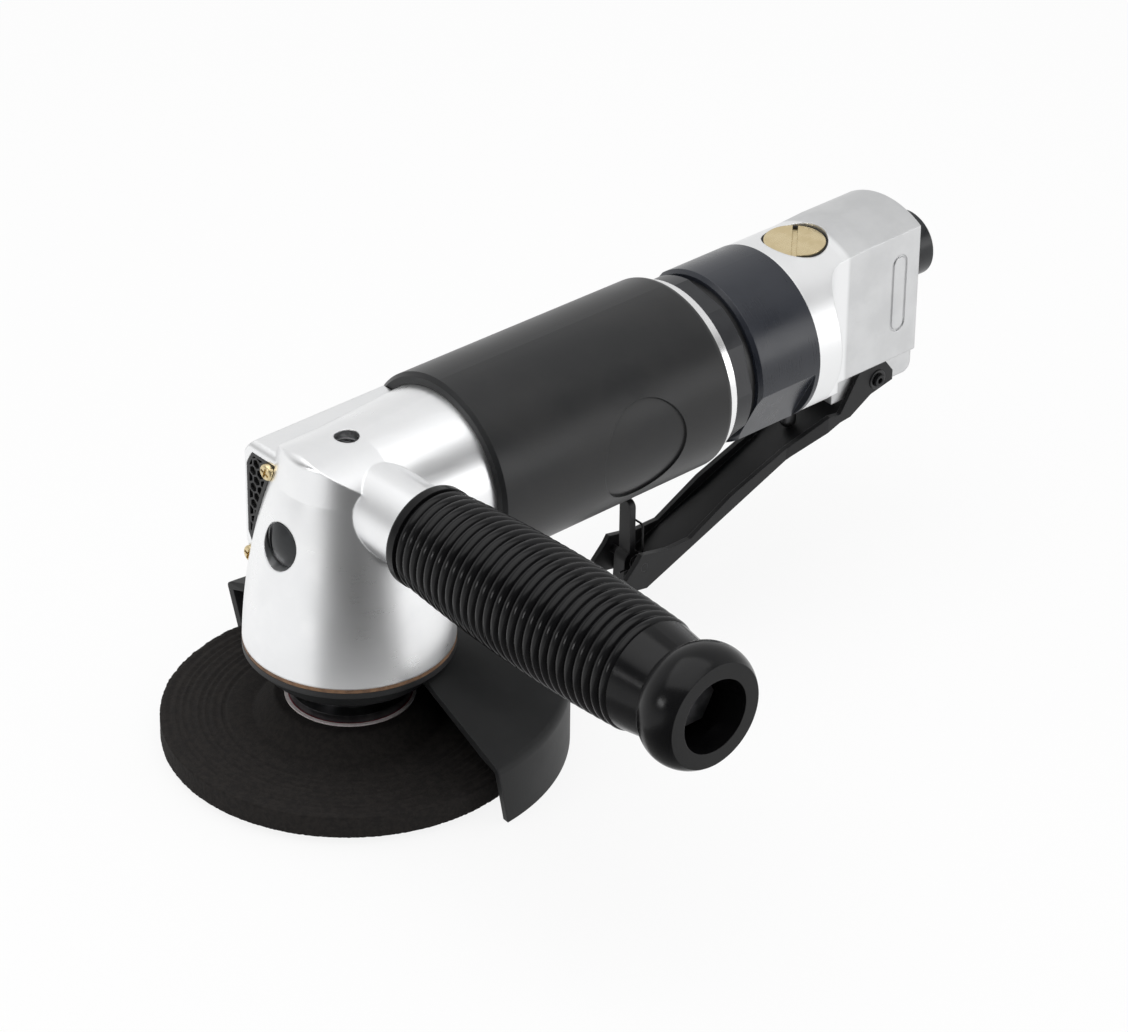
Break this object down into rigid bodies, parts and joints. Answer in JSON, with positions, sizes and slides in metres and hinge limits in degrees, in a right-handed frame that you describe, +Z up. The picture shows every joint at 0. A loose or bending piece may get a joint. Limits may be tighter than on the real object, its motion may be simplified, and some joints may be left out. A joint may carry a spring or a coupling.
{
  "type": "pneumatic angle grinder",
  "caption": "Air angle grinder: bevel gear head with wheel, half-round guard and ribbed side handle, vane motor in a sleeved barrel, lever throttle and air inlet.",
  "frame": {"origin": "centre of the spindle's lower end face", "axes": "+Z up along the spindle; +X back along the motor to the air inlet; the side handle points along -Y"},
  "size_m": [0.2535, 0.197, 0.0968],
  "materials": {
    "cast_aluminium": "satin, fine cast grain",
    "black_plastic": "matte",
    "grip_rubber": "glossy",
    "black_steel": "satin black",
    "blue_black_steel": "semi-gloss blue-black",
    "brass": "satin",
    "copper": "dull copper",
    "bright_steel": "turned",
    "phenolic": "matte",
    "rubber": "matte",
    "felt": "felt",
    "abrasive": "coarse abrasive",
    "label_paper": "printed paper"
  },
  "bodies": {
    "body": {"angle_head": "cast_aluminium", "motor_housing": "cast_aluminium", "motor_sleeve": "black_plastic", "lock_ring": "black_steel", "rear_gasket": "rubber", "clamp_collar": "blue_black_steel", "valve_housing": "cast_aluminium", "exhaust_grille": "black_steel", "grille_screws": "brass", "silencer_pad": "felt", "front_plug": "black_steel", "valve_plug": "brass", "valve_plug_seal": "rubber", "valve_seat": "brass", "inlet_bushing": "black_steel", "inlet_screen": "brass", "cylinder_liner": "bright_steel", "front_end_plate": "bright_steel", "rear_end_plate": "bright_steel", "front_bearing_outer_race": "bright_steel", "front_bearing_balls": "bright_steel", "rear_bearing_outer_race": "bright_steel", "rear_bearing_balls": "bright_steel", "needle_bush": "bright_steel", "bearing_cap": "black_steel", "bearing_circlip": "bright_steel", "bell_gasket": "copper", "cap_screws": "bright_steel", "spindle_seal": "felt", "spindle_bearing_outer_race": "bright_steel", "spindle_bearing_balls": "bright_steel", "lever_pin": "black_steel", "handle_grip": "grip_rubber", "handle_bolt": "bright_steel"},
    "spindle": {"spindle": "bright_steel", "gear_key": "bright_steel", "gear_ring": "bright_steel", "bevel_gear": "bright_steel", "spindle_bearing_inner_race": "bright_steel", "inner_flange": "black_steel", "flange_nut": "black_steel", "grinding_disc": "abrasive", "disc_label": "label_paper"},
    "rotor": {"rotor": "bright_steel", "vanes": "phenolic", "pinion": "bright_steel", "front_bearing_inner_race": "bright_steel", "rear_bearing_inner_race": "bright_steel"},
    "guard": {"guard": "black_steel", "guard_clamp_screw": "black_steel"},
    "lever": {"lever": "black_steel", "catch_pin": "black_steel"},
    "catch": {"lock_catch": "black_steel", "catch_spring": "bright_steel"},
    "valve": {"throttle_valve": "bright_steel", "valve_spring": "bright_steel"}
  },
  "joints": [
    {"name": "spindle_spin", "type": "hinge", "parent": "body", "child": "spindle", "pos_m": [0, 0, 0.0658], "axis": [0, 0, 1], "continuous": true},
    {"name": "rotor_spin", "type": "hinge", "parent": "body", "child": "rotor", "pos_m": [0, 0, 0.0658], "axis": [1, 0, 0], "continuous": true},
    {"name": "guard_turn", "type": "hinge", "parent": "body", "child": "guard", "pos_m": [0, 0, 0.0235], "axis": [0, 0, 1], "range_deg": [-90, 90]},
    {"name": "lever_press", "type": "hinge", "parent": "body", "child": "lever", "pos_m": [0.1819, 0, 0.0408], "axis": [0, 1, 0], "range_deg": [0, 12], "stiffness_Nm_per_rad": 0.8, "springref_deg": -17.19},
    {"name": "catch_fold", "type": "hinge", "parent": "lever", "child": "catch", "pos_m": [0.0977, 0, 0.0119], "axis": [0, 1, 0], "range_deg": [0, 60]},
    {"name": "valve_lift", "type": "slide", "parent": "body", "child": "valve", "axis": [0, 0, 1], "range_m": [0, 0.0055], "deforming": ["valve_spring"]}
  ],
  "couplings": [
    {"joint": "rotor_spin", "follows": "spindle_spin", "ratio": 1.6},
    {"joint": "catch_fold", "follows": "lever_press", "ratio": 5},
    {"joint": "valve_lift", "follows": "lever_press", "m_per_rad": 0.0262}
  ]
}
